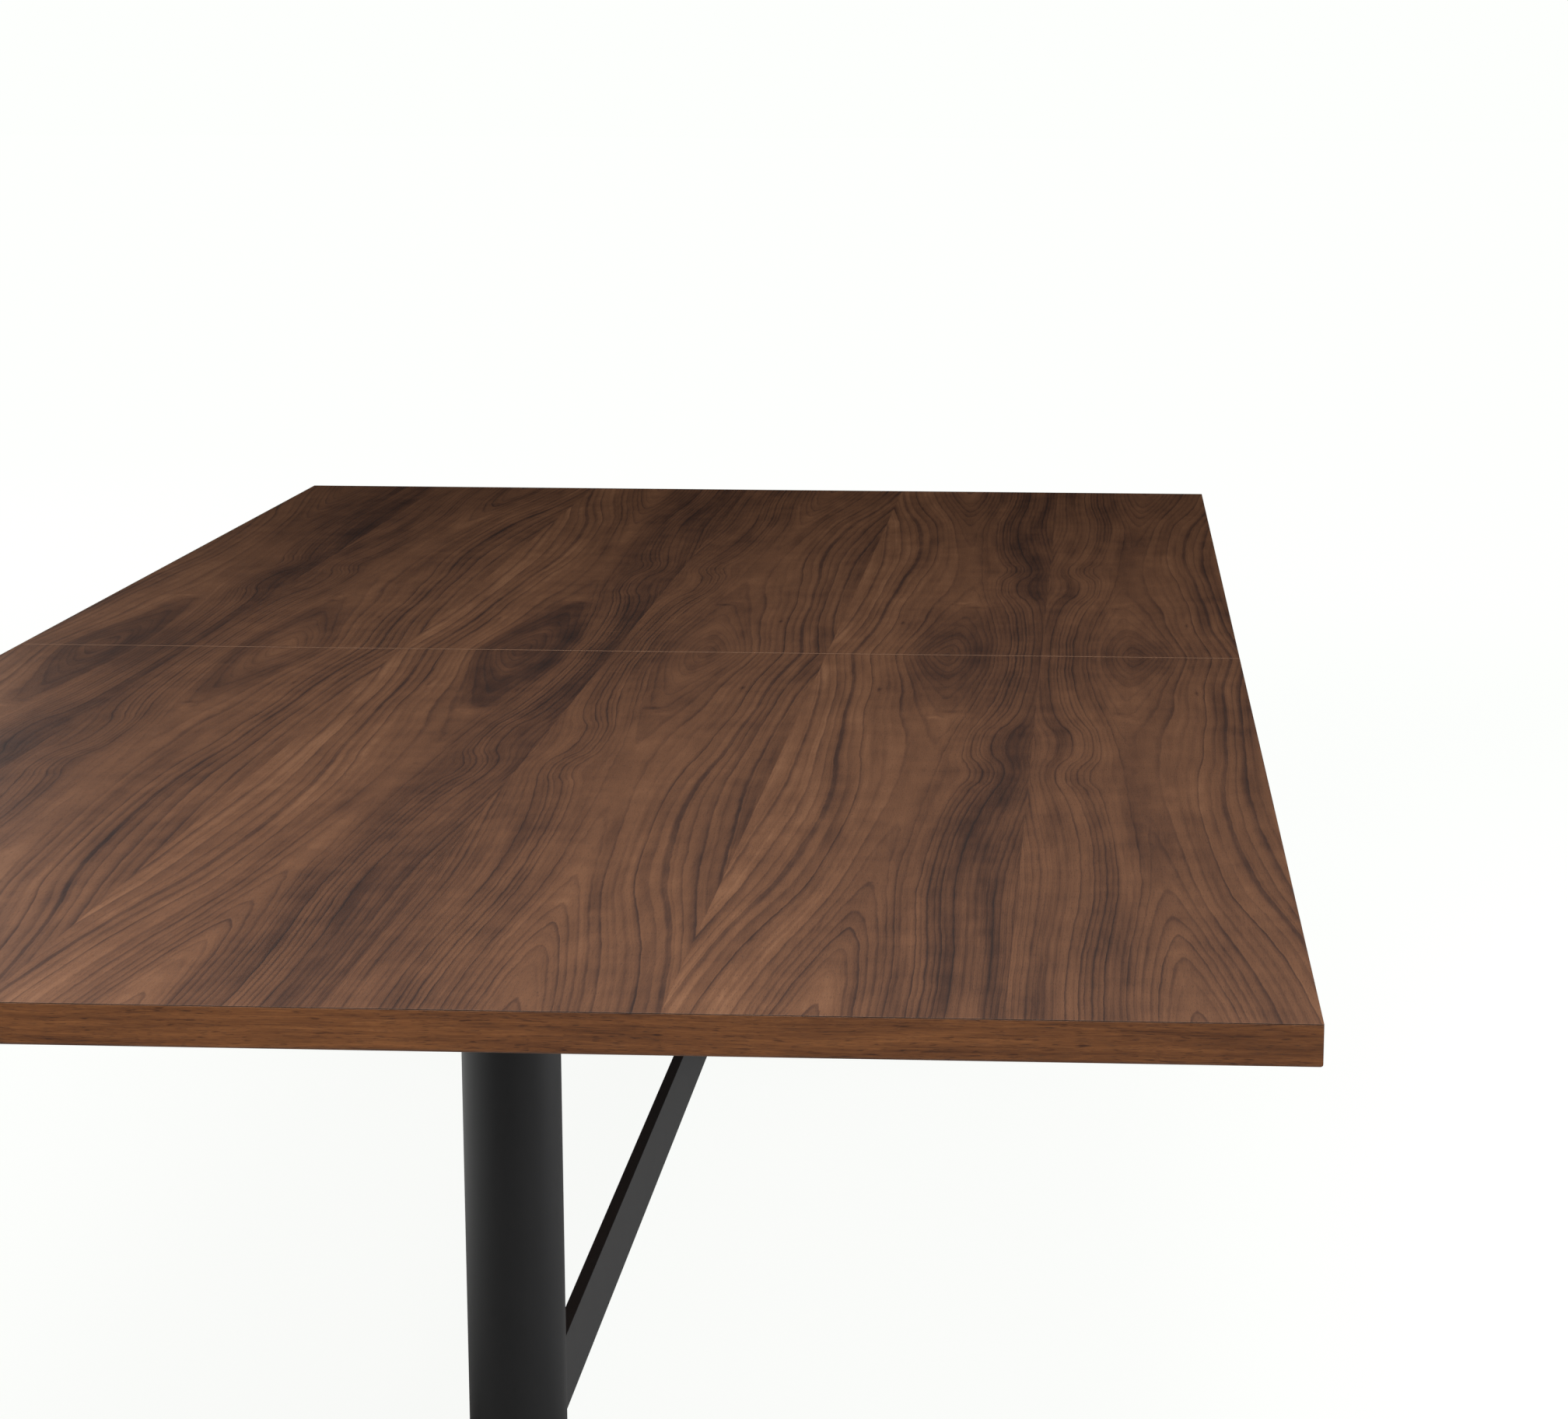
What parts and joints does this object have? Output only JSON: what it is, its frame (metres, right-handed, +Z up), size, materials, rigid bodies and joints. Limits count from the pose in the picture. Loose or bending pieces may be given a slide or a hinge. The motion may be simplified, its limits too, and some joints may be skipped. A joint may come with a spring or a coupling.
{
  "type": "table",
  "caption": "Long rectangular table: jointed walnut-veneered top on round black steel columns with crosswise flat-bar feet and a low flat-bar stretcher.",
  "frame": {"origin": "on the floor under the middle of the table top", "axes": "+Z up, +Y along the table's length towards its rear end, +X across it to the right seen from the front end"},
  "size_m": [1.45, 3.1, 0.73],
  "materials": {
    "walnut_face": "semi-matte lacquered walnut veneer, book-matched leaves, open pores",
    "walnut_band": "satin lacquered walnut edge band, grain along the edge",
    "walnut_backing": "matte sealed plain walnut backing veneer",
    "core_board": "raw pressed wood board",
    "beech": "raw fluted hardwood dowel",
    "powder_coat": "fine-textured matte black powder coat",
    "zinc_steel": "bright zinc plating",
    "black_steel": "black oxide steel"
  },
  "bodies": {
    "table": {"front_core_board": "core_board", "front_face_veneer": "walnut_face", "front_backing_veneer": "walnut_backing", "front_seam_band": "walnut_band", "front_end_band": "walnut_band", "front_left_band": "walnut_band", "front_right_band": "walnut_band", "rear_core_board": "core_board", "rear_face_veneer": "walnut_face", "rear_backing_veneer": "walnut_backing", "rear_seam_band": "walnut_band", "rear_end_band": "walnut_band", "rear_left_band": "walnut_band", "rear_right_band": "walnut_band", "seam_dowel_1": "beech", "seam_dowel_2": "beech", "seam_dowel_3": "beech", "seam_dowel_4": "beech", "left_draw_bolt": "zinc_steel", "right_draw_bolt": "zinc_steel", "left_rail": "powder_coat", "left_rail_screw_1": "zinc_steel", "left_rail_screw_2": "zinc_steel", "left_rail_screw_3": "zinc_steel", "left_rail_screw_4": "zinc_steel", "right_rail": "powder_coat", "right_rail_screw_1": "zinc_steel", "right_rail_screw_2": "zinc_steel", "right_rail_screw_3": "zinc_steel", "right_rail_screw_4": "zinc_steel", "front_arm": "powder_coat", "front_head_plate": "powder_coat", "front_column": "powder_coat", "front_foot_bar": "powder_coat", "front_saddle": "powder_coat", "front_left_arm_bolt": "black_steel", "front_left_head_bolt": "black_steel", "front_left_saddle_bolt": "black_steel", "front_right_arm_bolt": "black_steel", "front_right_head_bolt": "black_steel", "front_right_saddle_bolt": "black_steel", "rear_arm": "powder_coat", "rear_head_plate": "powder_coat", "rear_column": "powder_coat", "rear_foot_bar": "powder_coat", "rear_saddle": "powder_coat", "rear_left_arm_bolt": "black_steel", "rear_left_head_bolt": "black_steel", "rear_left_saddle_bolt": "black_steel", "rear_right_arm_bolt": "black_steel", "rear_right_head_bolt": "black_steel", "rear_right_saddle_bolt": "black_steel", "stretcher": "powder_coat"},
    "front_left_glide": {"front_left_glide": "black_steel"},
    "front_right_glide": {"front_right_glide": "black_steel"},
    "rear_left_glide": {"rear_left_glide": "black_steel"},
    "rear_right_glide": {"rear_right_glide": "black_steel"}
  },
  "joints": [
    {"name": "front_left_glide_screw", "type": "slide", "parent": "table", "child": "front_left_glide", "axis": [0, 0, -1], "range_m": [0, 0.012]},
    {"name": "front_right_glide_screw", "type": "slide", "parent": "table", "child": "front_right_glide", "axis": [0, 0, -1], "range_m": [0, 0.012]},
    {"name": "rear_left_glide_screw", "type": "slide", "parent": "table", "child": "rear_left_glide", "axis": [0, 0, -1], "range_m": [0, 0.012]},
    {"name": "rear_right_glide_screw", "type": "slide", "parent": "table", "child": "rear_right_glide", "axis": [0, 0, -1], "range_m": [0, 0.012]}
  ]
}
